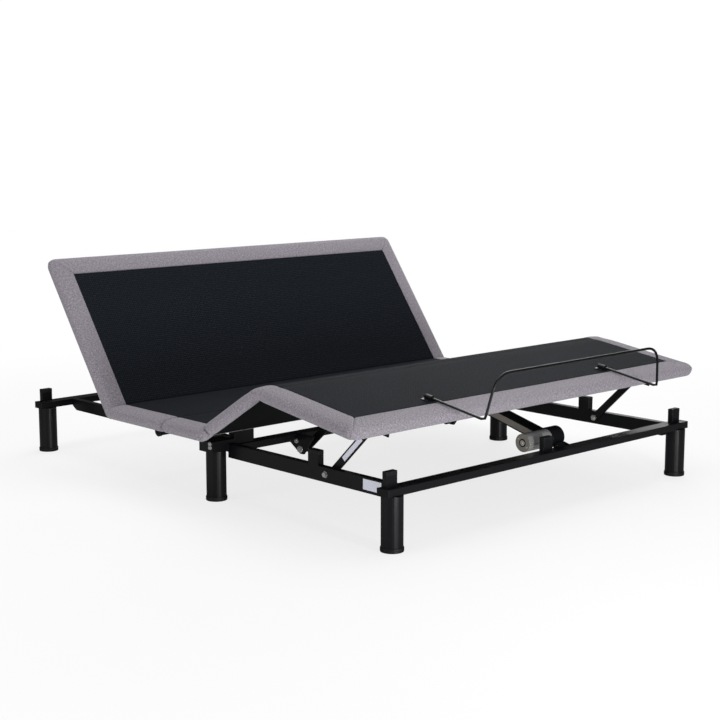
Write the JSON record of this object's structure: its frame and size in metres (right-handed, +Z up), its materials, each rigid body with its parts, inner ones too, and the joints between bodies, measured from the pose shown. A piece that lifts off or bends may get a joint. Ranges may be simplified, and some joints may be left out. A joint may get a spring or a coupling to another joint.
{
  "type": "adjustable bed base",
  "caption": "Adjustable bed base: upholstered back, seat, thigh and calf panels on a low steel frame, raised by linear actuators, with a wire mattress retainer at the foot end.",
  "frame": {"origin": "on the floor, centred under the bed base", "axes": "+Z up, +Y towards the head end, +X to the right seen from the foot end"},
  "size_m": [1.8, 2.1854, 0.811],
  "materials": {
    "linen_fabric": "woven linen-look upholstery",
    "plywood": "raw plywood",
    "black_steel": "semi-gloss black powder coat",
    "zinc_steel": "zinc plated",
    "black_plastic": "moulded, fine grain",
    "rubber": "matt black rubber",
    "nylon": "natural nylon"
  },
  "bodies": {
    "base": {"foot_leg_left": "black_steel", "foot_leg_right": "black_steel", "foot_glide_left": "rubber", "foot_glide_right": "rubber", "mid_leg_left": "black_steel", "mid_leg_right": "black_steel", "mid_glide_left": "rubber", "mid_glide_right": "rubber", "head_leg_left": "black_steel", "head_leg_right": "black_steel", "head_glide_left": "rubber", "head_glide_right": "rubber", "foot_rail": "black_steel", "mid_rail": "black_steel", "head_rail": "black_steel", "foot_side_rail_left": "black_steel", "foot_side_rail_right": "black_steel", "head_side_rail_left": "black_steel", "head_side_rail_right": "black_steel", "leg_lift_hanger_left": "black_steel", "leg_lift_hanger_right": "black_steel", "control_box": "black_plastic", "seat_rear_board": "plywood", "seat_rear_upholstery": "linen_fabric", "seat_front_board": "plywood", "seat_front_upholstery": "linen_fabric", "back_hinge_seat_leaf": "zinc_steel", "thigh_hinge_seat_leaf": "zinc_steel"},
    "back": {"back_board": "plywood", "back_upholstery": "linen_fabric", "back_hinge_leaf": "zinc_steel"},
    "thigh": {"thigh_board": "plywood", "thigh_upholstery": "linen_fabric", "thigh_hinge_leaf": "zinc_steel", "knee_hinge_thigh_leaf": "zinc_steel"},
    "calf": {"calf_board": "plywood", "calf_upholstery": "linen_fabric", "knee_hinge_calf_leaf": "zinc_steel", "calf_link_bracket_left": "black_steel", "calf_link_bracket_right": "black_steel", "retainer_bar": "black_steel", "retainer_socket_left": "black_steel", "retainer_socket_right": "black_steel"},
    "calf_links": {"calf_link_left": "black_steel", "calf_link_right": "black_steel"},
    "leg_lift": {"leg_lift_frame": "black_steel", "leg_lift_shoe_left": "nylon", "leg_lift_shoe_right": "nylon"},
    "leg_actuator": {"leg_actuator_gearbox": "black_plastic", "leg_actuator_motor": "zinc_steel", "leg_actuator_guide": "black_plastic"},
    "leg_rod": {"leg_actuator_rod": "zinc_steel"},
    "head_lift": {"head_lift_frame": "black_steel", "head_lift_shoe_left": "nylon", "head_lift_shoe_right": "nylon"},
    "head_actuator": {"head_actuator_gearbox": "black_plastic", "head_actuator_motor": "zinc_steel", "head_actuator_guide": "black_plastic"},
    "head_rod": {"head_actuator_rod": "zinc_steel"}
  },
  "joints": [
    {"name": "back_tilt", "type": "hinge", "parent": "base", "child": "back", "pos_m": [0, 0.3936, 0.2725], "axis": [1, 0, 0], "range_deg": [-54.34, 5.66]},
    {"name": "head_lift_turn", "type": "hinge", "parent": "base", "child": "head_lift", "pos_m": [0, 0.4646, 0.15], "axis": [1, 0, 0], "range_deg": [-54.41, 5.71]},
    {"name": "head_actuator_tilt", "type": "hinge", "parent": "base", "child": "head_actuator", "pos_m": [0, 1.0116, 0.2], "axis": [-1, 0, 0], "range_deg": [-3.79, 0.44]},
    {"name": "head_rod_slide", "type": "slide", "parent": "head_actuator", "child": "head_rod", "axis": [0, -0.9894, 0.145], "range_m": [-0.1137, 0.01229]},
    {"name": "thigh_tilt", "type": "hinge", "parent": "base", "child": "thigh", "pos_m": [0, -0.1504, 0.2725], "axis": [-1, 0, 0], "range_deg": [-31.3, 4.7]},
    {"name": "calf_fold", "type": "hinge", "parent": "thigh", "child": "calf", "pos_m": [0, -0.46393, 0.42802], "axis": [1, 0, 0], "range_deg": [-39.69, 6]},
    {"name": "calf_link_swing", "type": "hinge", "parent": "base", "child": "calf_links", "pos_m": [0, -0.6104, 0.18], "axis": [-1, 0, 0], "range_deg": [-33.05, 5]},
    {"name": "leg_lift_turn", "type": "hinge", "parent": "base", "child": "leg_lift", "pos_m": [0, -0.1154, 0.138], "axis": [-1, 0, 0], "range_deg": [-23.75, 3.61]},
    {"name": "leg_actuator_tilt", "type": "hinge", "parent": "base", "child": "leg_actuator", "pos_m": [0, -0.9064, 0.2], "axis": [1, 0, 0], "range_deg": [-10.45, 1.61]},
    {"name": "leg_rod_slide", "type": "slide", "parent": "leg_actuator", "child": "leg_rod", "axis": [0, 0.9681, 0.2505], "range_m": [-0.08663, 0.01343]}
  ],
  "couplings": [
    {"joint": "head_lift_turn", "follows": "back_tilt", "ratio": 1.0003},
    {"joint": "head_actuator_tilt", "follows": "back_tilt", "ratio": 0.06877},
    {"joint": "head_rod_slide", "follows": "back_tilt", "m_per_rad": 0.11935},
    {"joint": "calf_fold", "follows": "thigh_tilt", "ratio": 1.2665},
    {"joint": "calf_link_swing", "follows": "thigh_tilt", "ratio": 1.0543},
    {"joint": "leg_lift_turn", "follows": "thigh_tilt", "ratio": 0.75704},
    {"joint": "leg_actuator_tilt", "follows": "thigh_tilt", "ratio": 0.33234},
    {"joint": "leg_rod_slide", "follows": "thigh_tilt", "m_per_rad": 0.15767}
  ]
}
